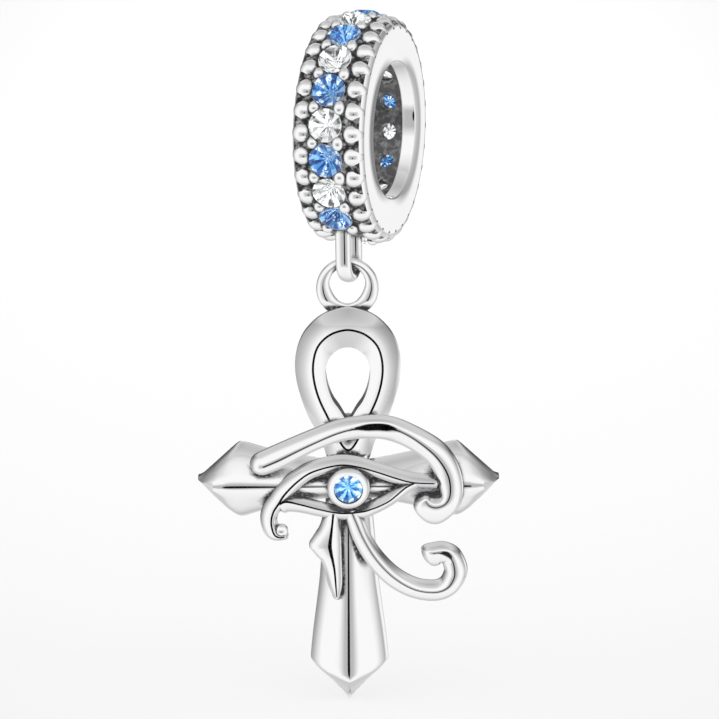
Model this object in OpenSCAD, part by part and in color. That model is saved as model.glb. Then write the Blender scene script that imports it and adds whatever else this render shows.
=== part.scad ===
// Dangle charm: a stone-set ring bead with a fixed loop under it, and an ankh
// pendant with an eye laid over its front, hung from that loop by its own ring.
// Millimetres, +Z up, front towards -Y. The origin is the middle of the bead's hole.

/* [Bead] */
// Diameter of the hole that a bracelet runs through
bore_d = 4.8; // [4.4:0.1:4.9]
// Width of the bead along its hole
bead_w = 2.6; // [2.5:0.1:3]
// Length of each polished lip inside the hole
lip_len = 0.5; // [0.4:0.05:0.6]
// Diameter of the dark channel between the two lips
channel_d = 6.5; // [6.3:0.1:6.7]
// Diameter of the ground that the stones are set in
ground_d = 7.7; // [7.6:0.05:7.75]
// Angle between the bead's hole and the pendant's face
bead_yaw = 18; // [0:1:18]
// Turn of the bead about its own hole, towards the front
bead_turn = 16; // [0:1:18]

/* [Beaded rims] */
// Diameter over the beads of each rim
rim_d = 8.04; // [8:0.02:8.1]
// Number of beads round each rim
rim_count = 30; // [28:1:32]
// Radius of one rim bead
rim_bead_r = 0.4; // [0.39:0.01:0.42]

/* [Pave stones] */
// Diameter of one pave stone
stone_d = 1.2; // [1:0.05:1.2]
// Angle from one stone to the next
stone_pitch = 18; // [18:0.25:18.5]
// Number of pave stones
stone_count = 18; // [10:1:18]
// Diameter of the circle that the girdles sit on
girdle_circle_d = 8; // [8:0.02:8.04]
// Radius of the small balls that hold the stones
prong_r = 0.2; // [0.18:0.01:0.21]
// Clear space left between a stone and its metal
stone_gap = 0.03; // [0.03:0.005:0.04]

/* [Fixed loop] */
// Width of the loop's flat band, along the bead's hole
loop_band_w = 0.56; // [0.5:0.02:0.58]
// Thickness of that band
loop_band_t = 0.42; // [0.38:0.02:0.46]
// Distance between the middles of the loop's two legs
loop_leg_gap = 1.27; // [1.2:0.01:1.4]
// Distance from the hole's middle to the middle of the loop's round end
loop_reach = 4.655; // [4.6:0.005:4.8]

/* [Pendant ring] */
// Wire diameter of the ring at its top, where it hangs in the loop
ring_wire_d = 0.32; // [0.3:0.02:0.34]
// Wire diameter of the ring at its sides and foot
ring_side_d = 0.54; // [0.46:0.02:0.56]
// Outer diameter of that ring
ring_d = 2.22; // [2.1:0.02:2.3]
// Clear space between the ring and the loop it hangs in
hang_gap = 0.14; // [0.14:0.01:0.18]
// Tilt of the hanging pendant, with its foot towards the back
hang_tilt = 3.6; // [3:0.1:4.2]
// Lean of the hanging pendant, with its top towards the left
hang_lean = 0.3; // [0:0.1:0.5]
// Sideways place of the ring in the loop
hang_side = -0.06; // [-0.06:0.01:0.06]

/* [Ankh] */
// Height of the ankh from the middle of its arms to its top
ankh_top = 6.28; // [6.2:0.02:6.36]
// Length of the stem below the middle of the arms
stem_len = 8.1; // [7.8:0.05:8.3]
// Length of one arm from the middle of the ankh
arm_len = 5.37; // [5.2:0.05:5.5]
// Height of the front crest above the edge plane
crest_h = 1.4; // [1.3:0.01:1.5]
// Height of the crest of the round loop on top
loop_crest_h = 1.15; // [1:0.01:1.25]
// Thickness of the narrow upright edge
edge_t = 0.15; // [0.1:0.01:0.2]
// Depth of the flat back behind the edge plane
back_t = 0.5; // [0.4:0.02:0.6]
// Width of the slope between the edge and the flat back
back_slope = 0.3; // [0.2:0.02:0.32]

/* [Eye] */
// Depth of the eye's flat back in front of the edge plane
eye_back = 1.2; // [1.15:0.01:1.25]
// Height of the eye's lines above their flat back
eye_line_h = 0.68; // [0.6:0.02:0.75]
// Outer diameter of the round setting in the eye
bezel_d = 1.5; // [1.4:0.02:1.56]
// Height of that setting above the eye's flat back
bezel_h = 0.9; // [0.85:0.01:0.95]
// Diameter of the stone in the eye
eye_stone_d = 1; // [0.9:0.02:1]

/* [Hidden] */
$fn = 24;

bore_r = bore_d / 2;
channel_r = channel_d / 2;
ground_r = ground_d / 2;
rim_r = rim_d / 2;
half_w = bead_w / 2;
girdle_circle_r = girdle_circle_d / 2;

bore_chamfer = 0.08;    // softened edge at each mouth of the hole
face_r = 3.66;          // flat annulus of each side face ends here
rim_base_r = 3.84;      // solid metal under the rim beads
rim_base_in = 0.76;     // half width of the sunken ground
prong_side = 0.46;      // prongs stand this far either side of the row of stones
row_turn = 1.3;         // the row of stones is turned a little about the hole
first_stone = 1.5 * stone_pitch + row_turn;  // from the loop to the stone beside it

// Facets of a round brilliant, as shares of its diameter
table_share = 0.55;
crown_share = 0.15;
girdle_share = 0.04;
pavilion_share = 0.42;

loop_bend_r = loop_leg_gap / 2;
loop_root = 3.45;       // the legs start here, inside the wall
loop_corner_r = 0.2;    // rounding of the band's corners

ring_wire_r = ring_wire_d / 2;
ring_side_r = ring_side_d / 2;
ring_r = ring_d / 2;

// Middle of the loop's round end, then the middle of the ring's top wire
bend_out = loop_reach * sin(bead_turn);
bend_z = -loop_reach * cos(bead_turn);
pivot_x = -bend_out * sin(bead_yaw);
pivot_y = -bend_out * cos(bead_yaw);
pivot_z = bend_z - loop_bend_r + loop_band_t / 2 + ring_wire_r + hang_gap;
ring_sunk = 0.5;        // the ring's outer edge reaches this far into the ankh
ring_depth = -0.06;     // the ring stands this far in front of the edge plane
hang_h = ankh_top - ring_sunk + ring_d - ring_wire_r;  // hinge above the arms' middle
eye_rise = 0.06;        // middle of the round setting above the arms' middle

// One arm, from the middle of the ankh outwards:
// [distance, half width, distance of the crest, height of the crest]
ARM_ROWS = [
    [0, 0.62, 0, crest_h],
    [0.8, 0.69, 0.8, crest_h],
    [1.6, 0.83, 1.6, crest_h],
    [2.3, 0.98, 2.3, crest_h],
    [3, 1.14, 3.02, crest_h],
    [3.6, 1.32, 3.75, crest_h],
    [3.86, 1.37, 4.15, crest_h],
    [4.02, 1.26, 4.4, crest_h],
    [arm_len - 0.11, 0.13, arm_len - 0.39, crest_h],
    [arm_len, 0.04, arm_len - 0.36, crest_h - 0.04]
];
// The stem, from inside the round loop down to its point, with the same columns
STEM_ROWS = [
    [-0.95, 0.7, -0.95, crest_h - 0.3],
    [-0.3, 0.72, -0.3, crest_h - 0.02],
    [0.5, 0.8, 0.5, crest_h],
    [1.5, 0.88, 1.5, crest_h],
    [3.1, 1.01, 3.1, crest_h],
    [3.8, 1.07, 3.8, crest_h],
    [4.6, 1.17, 4.6, crest_h],
    [5.7, 1.31, 5.7, crest_h],
    [stem_len - 1.52, 1.4, stem_len - 1.3, crest_h],
    [stem_len - 1.3, 1.29, stem_len - 1, crest_h],
    [stem_len - 0.13, 0.13, stem_len - 0.91, crest_h],
    [stem_len, 0.04, stem_len - 0.89, crest_h - 0.04]
];
// The stem's and the loop's flat backs lie a little in front of the arms' back
stem_back_t = back_t - 0.02;
loop_back_t = back_t - 0.04;

// Right half of the ankh's round loop, from its top down to where the two halves
// meet: [side, height, half width, lean of the crest towards the hole]
LOOP_ROWS = [
    [0, ankh_top - 0.75, 0.73, -0.13],
    [0.46, ankh_top - 0.84, 0.7, -0.11],
    [0.83, ankh_top - 1.07, 0.66, -0.08],
    [1.13, ankh_top - 1.38, 0.6, 0],
    [1.33, ankh_top - 1.98, 0.555, 0.09],
    [1.3, 3.68, 0.54, 0.12],
    [1.16, 3.12, 0.535, 0.135],
    [0.98, 2.67, 0.56, 0.15],
    [0.78, 2.33, 0.6, 0.12],
    [0.39, 1.66, 0.62, 0.04]
];
// Where the halves meet, the section stands upright and is taller
loop_meet = [0, 1.28, 1.14, -0.09];

// Lines of the eye: [side, height, half width left of the way along, half width right]
BROW_ROWS = [
    [-3.2, 0.74, 0.3, 0.26],
    [-3.02, 0.82, 0.42, 0.36],
    [-2.36, 1.12, 0.45, 0.37],
    [-1.3, 1.62, 0.41, 0.31],
    [-0.23, 2.04, 0.39, 0.35],
    [0.83, 2.2, 0.36, 0.43],
    [1.53, 2.15, 0.35, 0.46],
    [2.24, 1.89, 0.32, 0.48],
    [2.94, 1.39, 0.4, 0.46],
    [3.33, 0.93, 0.43, 0.45],
    [3.57, 0.46, 0.41, 0.49],
    [3.62, 0.02, 0.45, 0.41],
    [3.56, -0.32, 0.48, 0.34],
    [3.38, -0.53, 0.6, 0.25],
    [3.1, -0.6, 0.78, 0.21],
    [2.86, -0.52, 0.68, 0.17],
    [2.72, -0.34, 0.5, 0.12]
];
UPPER_LID_ROWS = [
    [-2.26, -1.7, 0.2, 0.16],
    [-2.45, -1.73, 0.22, 0.2],
    [-2.64, -1.6, 0.33, 0.2],
    [-2.73, -1.2, 0.38, 0.15],
    [-2.66, -0.82, 0.38, 0.2],
    [-2.46, -0.48, 0.36, 0.28],
    [-2.24, -0.14, 0.34, 0.28],
    [-1.77, 0.34, 0.27, 0.3],
    [-1.24, 0.68, 0.23, 0.31],
    [-0.35, 0.91, 0.19, 0.31],
    [0.32, 0.85, 0.19, 0.29],
    [0.99, 0.66, 0.17, 0.29],
    [1.7, 0.42, 0.18, 0.3],
    [2.3, 0.26, 0.18, 0.26],
    [3.18, 0.22, 0.14, 0.26]
];
LOWER_LID_ROWS = [
    [-2.5, -0.52, 0.12, 0.5],
    [-2.2, -0.4, 0.12, 0.52],
    [-1.67, -0.52, 0.11, 0.42],
    [-0.97, -0.71, 0.1, 0.38],
    [-0.26, -0.84, 0.08, 0.36],
    [0.45, -0.79, 0.08, 0.38],
    [0.8, -0.7, 0.12, 0.34],
    [1.16, -0.56, 0.15, 0.3],
    [1.51, -0.36, 0.17, 0.28],
    [2.01, 0.07, 0.15, 0.32],
    [2.35, 0.24, 0.1, 0.3]
];
TAIL_ROWS = [
    [0.12, -0.8, 0.24, 0.34],
    [0.27, -1.16, 0.23, 0.37],
    [0.58, -1.86, 0.18, 0.42],
    [1.03, -2.6, 0.2, 0.44],
    [1.63, -3.23, 0.22, 0.46],
    [2.34, -3.66, 0.26, 0.43],
    [3.05, -3.77, 0.28, 0.43],
    [3.5, -3.62, 0.32, 0.41],
    [3.73, -3.28, 0.35, 0.41],
    [3.76, -2.96, 0.36, 0.42],
    [3.6, -2.58, 0.38, 0.38],
    [3.32, -2.37, 0.5, 0.29],
    [2.95, -2.37, 0.57, 0.23]
];
MARK_ROWS = [
    [-0.54, -0.86, 0.3, 0.32],
    [-0.57, -1.2, 0.28, 0.34],
    [-0.61, -1.55, 0.34, 0.42],
    [-0.65, -1.9, 0.4, 0.64],
    [-0.64, -2.12, 0.39, 0.73],
    [-0.6, -2.4, 0.35, 0.62],
    [-0.56, -2.62, 0.31, 0.44],
    [-0.5, -3, 0.26, 0.36],
    [-0.46, -3.6, 0.22, 0.25],
    [-0.44, -3.98, 0.12, 0.13]
];
// Rounded ends and corners of the lines: [side, height, radius]
END_ROWS = [
    [-3.02, 0.84, 0.38],
    [2.66, -0.76, 0.37],
    [-2.38, -1.54, 0.3],
    [2.98, -2.56, 0.39],
    [-2.42, -0.72, 0.3],
    [3.15, 0.1, 0.2],
    [-0.42, -4.02, 0.1],
    [-0.12, -1, 0.28]
];

// Section of an eye line across its width, from the left edge over the crest:
// [share of the half width on that side, share of the height]
LINE_SECTION = [[-1, 0.3], [-0.62, 0.84], [0, 1], [0.62, 0.84], [1, 0.3], [0.72, 0], [-0.72, 0]];

// Smooth curve through the rows of a table, with every column followed
function curve_point(a, b, c, d, t) =
    0.5 * (2 * b + (c - a) * t + (2 * a - 5 * b + 4 * c - d) * t * t
           + (3 * b - a - 3 * c + d) * t * t * t);
function smooth_rows(rows, steps) = concat(
    [for (i = [0:len(rows) - 2], j = [0:steps - 1])
        curve_point(rows[max(i - 1, 0)], rows[i], rows[i + 1],
                    rows[min(i + 2, len(rows) - 1)], j / steps)],
    [rows[len(rows) - 1]]
);

// Unit vector across a path at one of its rows, between its neighbours
function across(before, after) =
    let (du = after[0] - before[0], dw = after[1] - before[1], n = sqrt(du * du + dw * dw))
    [dw / n, -du / n];

// Section of a crested bar, as [side, depth] with depth towards the front. Its two
// front slopes are arched, and its crest may stand a little to one side.
arch_at = 0.66;
arch_rise = 0.52;
crest_point = 2;
function crested(half, crest, back, lean = 0) =
    let (flat = half - min(back_slope, half * 0.6), arch = edge_t + (crest - edge_t) * arch_rise)
    [[-half, edge_t], [-half * arch_at, arch], [lean, crest], [half * arch_at, arch], [half, edge_t],
     [half, 0], [flat, -back], [-flat, -back], [-half, 0]];

// Solid over a row of sections, each a list of [side, height, depth] points.
// A closed one joins its last section to its first.
module skinned(sections, closed = false) {
    m = len(sections[0]);
    n = len(sections);
    points = [for (section = sections, p = section) [p[0], -p[2], p[1]]];
    sides = [for (i = [0:closed ? n - 1 : n - 2], j = [0:m - 1])
        let (k = (j + 1) % m, a = i * m, b = ((i + 1) % n) * m)
        each [[a + j, b + k, a + k], [a + j, b + j, b + k]]];
    caps = closed ? [] : [for (j = [1:m - 2])
        let (b = (n - 1) * m)
        each [[0, j, j + 1], [b, b + j + 1, b + j]]];
    polyhedron(points, concat(sides, caps));
}

// Solid that follows rows of [side, height, ...], with one [side, depth] section each
module swept(rows, sections) {
    last = len(rows) - 1;
    skinned([for (i = [0:last])
        let (n = across(rows[max(i - 1, 0)], rows[min(i + 1, last)]))
        [for (p = sections[i]) [rows[i][0] + p[0] * n[0], rows[i][1] + p[0] * n[1], p[1]]]]);
}

// Puts its children, drawn round the Z axis, on the bead's hole
module on_bore() {
    rotate([0, 0, -bead_yaw]) rotate([0, 90, 0]) rotate([0, 0, -bead_turn]) children();
}

// Puts its children, drawn outwards along Z, at one place on the row of stones
module on_row(index, radius) {
    rotate([0, 0, -first_stone - index * stone_pitch])
        translate([radius, 0, 0]) rotate([0, 90, 0]) children();
}

module ring_body() {
    lip_in = half_w - lip_len;
    upper = [
        [channel_r, lip_in], [bore_r, lip_in], [bore_r, half_w - bore_chamfer],
        [bore_r + bore_chamfer, half_w], [face_r, half_w], [face_r + 0.16, half_w - 0.1],
        [rim_base_r + 0.08, half_w - 0.28], [rim_base_r, half_w - 0.38],
        [rim_base_r, rim_base_in], [ground_r, rim_base_in]
    ];
    lower = [for (i = [len(upper) - 2:-1:0]) [upper[i][0], -upper[i][1]]];
    rotate_extrude() polygon(concat([for (i = [0:len(upper) - 2]) upper[i]], lower));
}

module rim_beads() {
    for (side = [-1, 1], k = [0:rim_count - 1])
        rotate([0, 0, (k + 0.5) * 360 / rim_count])
            translate([rim_r - rim_bead_r, 0, side * (half_w - rim_bead_r - 0.01)])
                sphere(rim_bead_r);
}

module prongs() {
    for (side = [-1, 1], k = [0:stone_count])
        rotate([0, 0, -first_stone - (k - 0.5) * stone_pitch])
            translate([girdle_circle_r - 0.03, 0, side * prong_side]) sphere(prong_r);
}

// Outline of the band, cut across: [thickness, width]
function band_outline() =
    [for (corner = [[1, 1, 0], [-1, 1, 90], [-1, -1, 180], [1, -1, 270]], a = [0:30:90])
        [corner[0] * (loop_band_t / 2 - loop_corner_r) + loop_corner_r * cos(corner[2] + a),
         corner[1] * (loop_band_w / 2 - loop_corner_r) + loop_corner_r * sin(corner[2] + a)]];

module fixed_loop() {
    for (side = [-1, 1])
        translate([loop_root, side * loop_bend_r, 0]) rotate([90, 0, 90])
            linear_extrude(loop_reach - loop_root) polygon(band_outline());
    translate([loop_reach, 0, 0]) rotate([0, 0, -90])
        rotate_extrude(angle = 180) translate([loop_bend_r, 0]) polygon(band_outline());
}

// Space that a stone takes, with its gap, and the open hole below it
module stone_space() {
    r = stone_d / 2;
    low = stone_d * girdle_share / 2;
    slope = pavilion_share * 2;
    hole_r = r / 2;
    edge = r + stone_gap;
    base = -low - stone_gap * (sqrt(1 + slope * slope) - slope);
    rotate_extrude() polygon([
        [0, -1.1], [hole_r, -1.1], [hole_r, base - (edge - hole_r) * slope], [edge, base],
        [edge, low + stone_gap / 2], [r * table_share + stone_gap, low + stone_d * crown_share + stone_gap],
        [0, low + stone_d * crown_share + 0.2]
    ]);
}

module bead() {
    color("silver") on_bore() difference() {
        union() {
            ring_body();
            rim_beads();
            prongs();
            fixed_loop();
        }
        for (k = [0:stone_count - 1]) on_row(k, girdle_circle_r) stone_space();
    }
}

function facet_ring(n, r, z, turn) =
    [for (i = [0:n - 1]) [r * cos(turn + 360 * i / n), r * sin(turn + 360 * i / n), z]];

// Round brilliant, table up, with the middle of its girdle at the origin
module brilliant(d) {
    r = d / 2;
    half_turn = 22.5;
    girdle_z = d * girdle_share / 2;
    table_r = r * table_share;
    table_z = girdle_z + d * crown_share;
    crown_r = r * 0.78;
    crown_z = table_z + (girdle_z - table_z) * (crown_r * cos(half_turn) - table_r) / (r - table_r);
    culet_z = -girdle_z - d * pavilion_share;
    pav_r = r * 0.3;
    pav_z = culet_z + (-girdle_z - culet_z) * pav_r * cos(half_turn) / r;
    points = concat(
        facet_ring(8, table_r, table_z, 0), facet_ring(8, crown_r, crown_z, half_turn),
        facet_ring(16, r, girdle_z, 0), facet_ring(16, r, -girdle_z, 0),
        facet_ring(8, pav_r, pav_z, half_turn), [[0, 0, culet_z]]
    );
    t = 0;
    c = 8;
    g = 16;
    h = 32;
    p = 48;
    culet = 56;
    faces = concat(
        [[for (i = [7:-1:0]) t + i]],
        [for (i = [0:7]) let (j = (i + 1) % 8, e = 2 * i, f = (2 * i + 1) % 16, q = (2 * i + 2) % 16)
            each [
                [t + i, t + j, c + i],
                [t + i, c + i, g + e], [t + j, g + q, c + i],
                [c + i, g + f, g + e], [c + i, g + q, g + f],
                [g + e, g + f, h + f], [g + e, h + f, h + e],
                [g + f, g + q, h + q], [g + f, h + q, h + f],
                [h + e, h + f, p + i], [h + f, h + q, p + i],
                [h + e, p + i, culet], [p + i, h + q, culet]
            ]]
    );
    polyhedron(points, faces);
}

// Stones alternate round the row, and the first one beside the loop is blue
module blue_stone(k) {
    color("deepskyblue") on_bore() on_row(2 * (k - 1), girdle_circle_r) brilliant(stone_d);
}

module clear_stone(k) {
    color("whitesmoke") on_bore() on_row(2 * k - 1, girdle_circle_r) brilliant(stone_d);
}

// Puts its children, drawn round the middle of the ankh's arms, where the pendant hangs
module on_pendant() {
    translate([pivot_x + hang_side, pivot_y, pivot_z])
        rotate([hang_tilt, 0, 0]) rotate([0, -hang_lean, 0])
            translate([0, ring_depth, -hang_h]) children();
}

// Straight crested bar that runs along a direction of the pendant's face
module bar(rows, along, back) {
    skinned([for (row = rows)
        let (section = crested(row[1], row[3], back))
        [for (j = [0:len(section) - 1])
            let (share = max(0, 1 - abs(j - crest_point) / crest_point),
                 d = row[0] + share * (row[2] - row[0]), side = section[j][0])
            [along[0] * d + along[1] * side, along[1] * d - along[0] * side, section[j][1]]]]);
}

module arms() {
    other_arm = [for (i = [len(ARM_ROWS) - 1:-1:1])
        let (row = ARM_ROWS[i]) [-row[0], row[1], -row[2], row[3]]];
    bar(concat(other_arm, ARM_ROWS), [1, 0], back_t);
}

module stem() {
    bar(STEM_ROWS, [0, -1], stem_back_t);
}

module round_loop() {
    half = smooth_rows(concat(LOOP_ROWS, [loop_meet]), 3);
    count = len(half);
    // Right half down to the meeting place, then the left half back up to the top
    rows = concat(half, [for (i = [count - 2:-1:1]) [-half[i][0], half[i][1], half[i][2], half[i][3]]]);
    total = len(rows);
    skinned([for (i = [0:total - 1])
        let (n = across(rows[(i + total - 1) % total], rows[(i + 1) % total]))
        [for (p = crested(rows[i][2], loop_crest_h, loop_back_t, rows[i][3]))
            [rows[i][0] + p[0] * n[0], rows[i][1] + p[0] * n[1], p[1]]]], closed = true);
}

// One line of the eye, its flat back pushed in by a little
module eye_line(table, steps, sunk) {
    rows = smooth_rows(table, steps);
    swept(rows, [for (row = rows) [for (p = LINE_SECTION)
        [p[0] * (p[0] < 0 ? row[2] : row[3]), eye_back - sunk + p[1] * eye_line_h]]]);
}

module line_ends() {
    for (end = END_ROWS)
        translate([end[0], -eye_back + 0.075, end[1]]) rotate([90, 0, 0]) hull() {
            cylinder(r = end[2] * 0.7, h = 0.02, $fn = 20);
            translate([0, 0, eye_line_h * 0.94 - end[2] * 0.8]) scale([1, 1, 0.8]) sphere(end[2], $fn = 20);
        }
}

module setting() {
    r = bezel_d / 2;
    seat_r = eye_stone_d / 2 + stone_gap;
    low = eye_stone_d * girdle_share / 2;
    slope = pavilion_share * 2;
    translate([0, -eye_back + 0.1, eye_rise]) rotate([90, 0, 0]) difference() {
        rotate_extrude() polygon([
            [0, 0], [r, 0], [r, bezel_h - 0.02], [r - 0.1, bezel_h + 0.1], [0, bezel_h + 0.1]
        ]);
        translate([0, 0, bezel_h - 0.1]) rotate_extrude() polygon([
            [0, -seat_r * slope - low - stone_gap], [seat_r, -low - stone_gap / 2], [seat_r, 0.3], [0, 0.3]
        ]);
    }
}

// Ring whose wire is thinner at its top; all of its outer edge lies on one circle
module hanging_ring() {
    turns = 36;
    points = 12;
    translate([0, -ring_depth, hang_h + ring_wire_r - ring_r])
        skinned([for (i = [0:turns - 1])
            let (a = 360 * i / turns, growth = pow(sin(a / 2), 1.5),
                 wire = ring_wire_r + (ring_side_r - ring_wire_r) * growth)
            [for (j = [0:points - 1])
                let (b = 360 * j / points, out = ring_r - wire + wire * cos(b))
                [out * sin(a), out * cos(a), wire * sin(b)]]], closed = true);
}

module pendant() {
    color("silver") on_pendant() union() {
        round_loop();
        arms();
        stem();
        hanging_ring();
        eye_line(BROW_ROWS, 3, 0);
        eye_line(UPPER_LID_ROWS, 3, 0.015);
        eye_line(LOWER_LID_ROWS, 2, 0.03);
        eye_line(TAIL_ROWS, 3, 0.045);
        eye_line(MARK_ROWS, 2, 0.06);
        line_ends();
        setting();
    }
}

module eye_stone() {
    color("deepskyblue") on_pendant()
        translate([0, -eye_back + 0.1 - (bezel_h - 0.1), eye_rise])
            rotate([90, 0, 0]) brilliant(eye_stone_d);
}

bead();
pendant();
eye_stone();
for (k = [1:9]) {
    blue_stone(k);
    clear_stone(k);
}
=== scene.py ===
import math

import bmesh
import bpy
from mathutils import Matrix, Vector


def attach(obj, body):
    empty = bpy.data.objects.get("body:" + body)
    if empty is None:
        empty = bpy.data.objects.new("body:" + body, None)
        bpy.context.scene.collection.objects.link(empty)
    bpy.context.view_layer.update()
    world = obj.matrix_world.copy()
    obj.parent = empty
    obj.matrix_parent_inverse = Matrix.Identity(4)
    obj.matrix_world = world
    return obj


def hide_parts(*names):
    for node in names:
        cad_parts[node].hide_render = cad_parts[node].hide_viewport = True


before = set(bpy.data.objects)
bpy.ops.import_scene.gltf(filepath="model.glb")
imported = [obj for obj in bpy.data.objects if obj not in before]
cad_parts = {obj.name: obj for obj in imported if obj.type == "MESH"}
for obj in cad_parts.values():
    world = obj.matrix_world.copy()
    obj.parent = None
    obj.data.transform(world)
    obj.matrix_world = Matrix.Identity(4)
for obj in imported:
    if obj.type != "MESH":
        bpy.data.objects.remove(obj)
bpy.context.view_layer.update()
scene = bpy.context.scene
print("frame loaded")

# Pieces are modelled in millimetres round their own middle, and settle() puts them in place in metres
metre = 0.001


def pickOnly(*pieces):
    bpy.ops.object.select_all(action="DESELECT")
    for piece in pieces:
        piece.select_set(True)
    bpy.context.view_layer.objects.active = pieces[0]


def turnAbout(axis, degrees):
    return Matrix.Rotation(math.radians(degrees), 4, axis)


def nameIt(name):
    piece = bpy.context.object
    piece.name = name
    piece.data.name = name
    return piece


def tidyMesh(piece, merge=0.00005):
    pickOnly(piece)
    bpy.ops.object.mode_set(mode="EDIT")
    bpy.ops.mesh.select_all(action="SELECT")
    bpy.ops.mesh.remove_doubles(threshold=merge)
    bpy.ops.mesh.normals_make_consistent(inside=False)
    bpy.ops.object.mode_set(mode="OBJECT")


def smoothOver(piece, degrees):
    pickOnly(piece)
    bpy.ops.object.shade_smooth_by_angle(angle=math.radians(degrees))


def settle(piece, place, body, finish):
    piece.matrix_world = Matrix.Scale(metre, 4) @ place
    pickOnly(piece)
    bpy.ops.object.transform_apply(location=True, rotation=True, scale=True)
    if finish:
        piece.data.materials.clear()
        piece.data.materials.append(finish)
    piece.visible_glossy = False        # the polished pieces mirror the plain tent, not each other
    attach(piece, body)
    return piece


def copiesOf(source, places, name):
    # one joined piece made of a copy of the source at each place
    copies = []
    for place in places:
        copy = source.copy()
        copy.data = source.data.copy()
        copy.data.transform(place)
        scene.collection.objects.link(copy)
        copies.append(copy)
    pickOnly(*copies)
    if len(copies) > 1:
        bpy.ops.object.join()
    return nameIt(name)


def smoothRows(rows, steps):
    # a smooth curve through the rows, every column followed
    out = []
    last = len(rows) - 1
    for i in range(last):
        a, b, c, d = rows[max(i - 1, 0)], rows[i], rows[i + 1], rows[min(i + 2, last)]
        for j in range(steps):
            t = j / steps
            out.append(tuple(0.5 * (2 * q + (r - p) * t + (2 * p - 5 * q + 4 * r - s) * t * t
                                    + (3 * q - p - 3 * r + s) * t ** 3)
                             for p, q, r, s in zip(a, b, c, d)))
    out.append(tuple(rows[last]))
    return out


def sweep(name, rows, section, base=0.0, closed=False):
    # rows: (side, height, half width to the left of the way along, half width to the right, depth).
    # section: (share of the half width on that side, share of the depth), with depth towards the front
    # from the base plane. The first row's outline is extruded along.
    count, size = len(rows), len(section)
    leftward = [j for j in range(size) if section[j][0] < 0]

    def heading(i):
        before = rows[(i - 1) % count] if closed else rows[max(i - 1, 0)]
        after = rows[(i + 1) % count] if closed else rows[min(i + 1, count - 1)]
        return math.atan2(after[1] - before[1], after[0] - before[0])

    bpy.ops.mesh.primitive_circle_add(vertices=size, radius=1, fill_type="NGON")
    piece = nameIt(name)
    x, z, left, right, depth = rows[0]
    turn = heading(0)
    for vert, (u, v) in zip(piece.data.vertices, section):
        w = u * (left if u < 0 else right)
        vert.co = (x + w * math.sin(turn), -base - v * depth, z - w * math.cos(turn))
    bpy.ops.object.mode_set(mode="EDIT")
    bpy.ops.mesh.select_mode(type="VERT")

    def pickOutline(i, wanted):
        mesh = bmesh.from_edit_mesh(piece.data)
        mesh.verts.ensure_lookup_table()
        bpy.ops.mesh.select_all(action="DESELECT")
        for j in wanted:
            mesh.verts[i * size + j].select = True
        mesh.select_flush(True)
        bmesh.update_edit_mesh(piece.data)

    for i in range(1, count):
        old, new = rows[i - 1], rows[i]
        pickOutline(i - 1, range(size))
        step = math.remainder(heading(i) - heading(i - 1), 2 * math.pi)
        middle = (new[0], -base, new[1])
        bpy.ops.mesh.extrude_region_move(
            TRANSFORM_OT_translate={"value": (new[0] - old[0], 0, new[1] - old[1]), "orient_type": "GLOBAL"})
        bpy.ops.transform.rotate(value=step, orient_axis="Y", orient_type="GLOBAL", center_override=middle)
        wider, deeper = new[3] / old[3], new[4] / old[4]
        bpy.ops.transform.resize(value=(wider, deeper, wider), orient_type="GLOBAL", center_override=middle)
        apart = (new[2] / old[2]) / wider
        if abs(apart - 1) > 0.0001:     # the two half widths change by different shares
            pickOutline(i, leftward)
            bpy.ops.transform.resize(value=(apart, 1, apart), orient_type="GLOBAL", center_override=middle)
    bpy.ops.object.mode_set(mode="OBJECT")
    if closed:
        joinEnds(piece, size)
    tidyMesh(piece)
    return piece


def roundedEnd(rows, length):
    # more rows past the last one, drawn in along a quarter of a circle
    (x0, z0), (x1, z1) = rows[-2][:2], rows[-1][:2]
    reach = math.hypot(x1 - x0, z1 - z0)
    ax, az = (x1 - x0) / reach, (z1 - z0) / reach
    left, right, depth = rows[-1][2:]
    more = []
    for a in (20, 38, 54, 68, 80):
        out, keep = length * math.sin(math.radians(a)), math.cos(math.radians(a))
        more.append((x1 + ax * out, z1 + az * out, left * keep, right * keep, depth * (0.3 + 0.7 * keep)))
    return rows + more


def turned(rows):
    # the same path, followed from its other end
    return [(x, z, right, left, depth) for x, z, left, right, depth in reversed(rows)]


def joinEnds(piece, count):
    # the first and the last outline of a closed path are bridged in place of their caps
    bpy.ops.object.mode_set(mode="EDIT")
    bpy.ops.mesh.select_mode(type="FACE")
    bpy.ops.mesh.select_all(action="DESELECT")
    bpy.ops.object.mode_set(mode="OBJECT")
    for face in piece.data.polygons:
        face.select = len(face.vertices) == count
    bpy.ops.object.mode_set(mode="EDIT")
    bpy.ops.mesh.bridge_edge_loops()
    bpy.ops.mesh.select_mode(type="VERT")
    bpy.ops.object.mode_set(mode="OBJECT")


def spun(name, outline, steps):
    # outline of (radius, height), turned once round Z; a point on the axis closes the shape
    bpy.ops.mesh.primitive_circle_add(vertices=len(outline), radius=1, fill_type="NOTHING")
    piece = nameIt(name)
    for vert, (radius, height) in zip(piece.data.vertices, outline):
        vert.co = (radius, 0, height)
    bpy.ops.object.mode_set(mode="EDIT")
    bpy.ops.mesh.select_all(action="SELECT")
    bpy.ops.mesh.spin(steps=steps, angle=2 * math.pi, center=(0, 0, 0), axis=(0, 0, 1))
    bpy.ops.object.mode_set(mode="OBJECT")
    tidyMesh(piece)
    return piece


def paintPatina(piece, amount):
    # amount(x, y, z) in the piece's own millimetres: 1 is dark in the recess, 0 is polished
    shade = piece.data.attributes.new("patina", "FLOAT", "POINT")
    for i, vert in enumerate(piece.data.vertices):
        shade.data[i].value = max(0.0, min(1.0, amount(*vert.co)))


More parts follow.
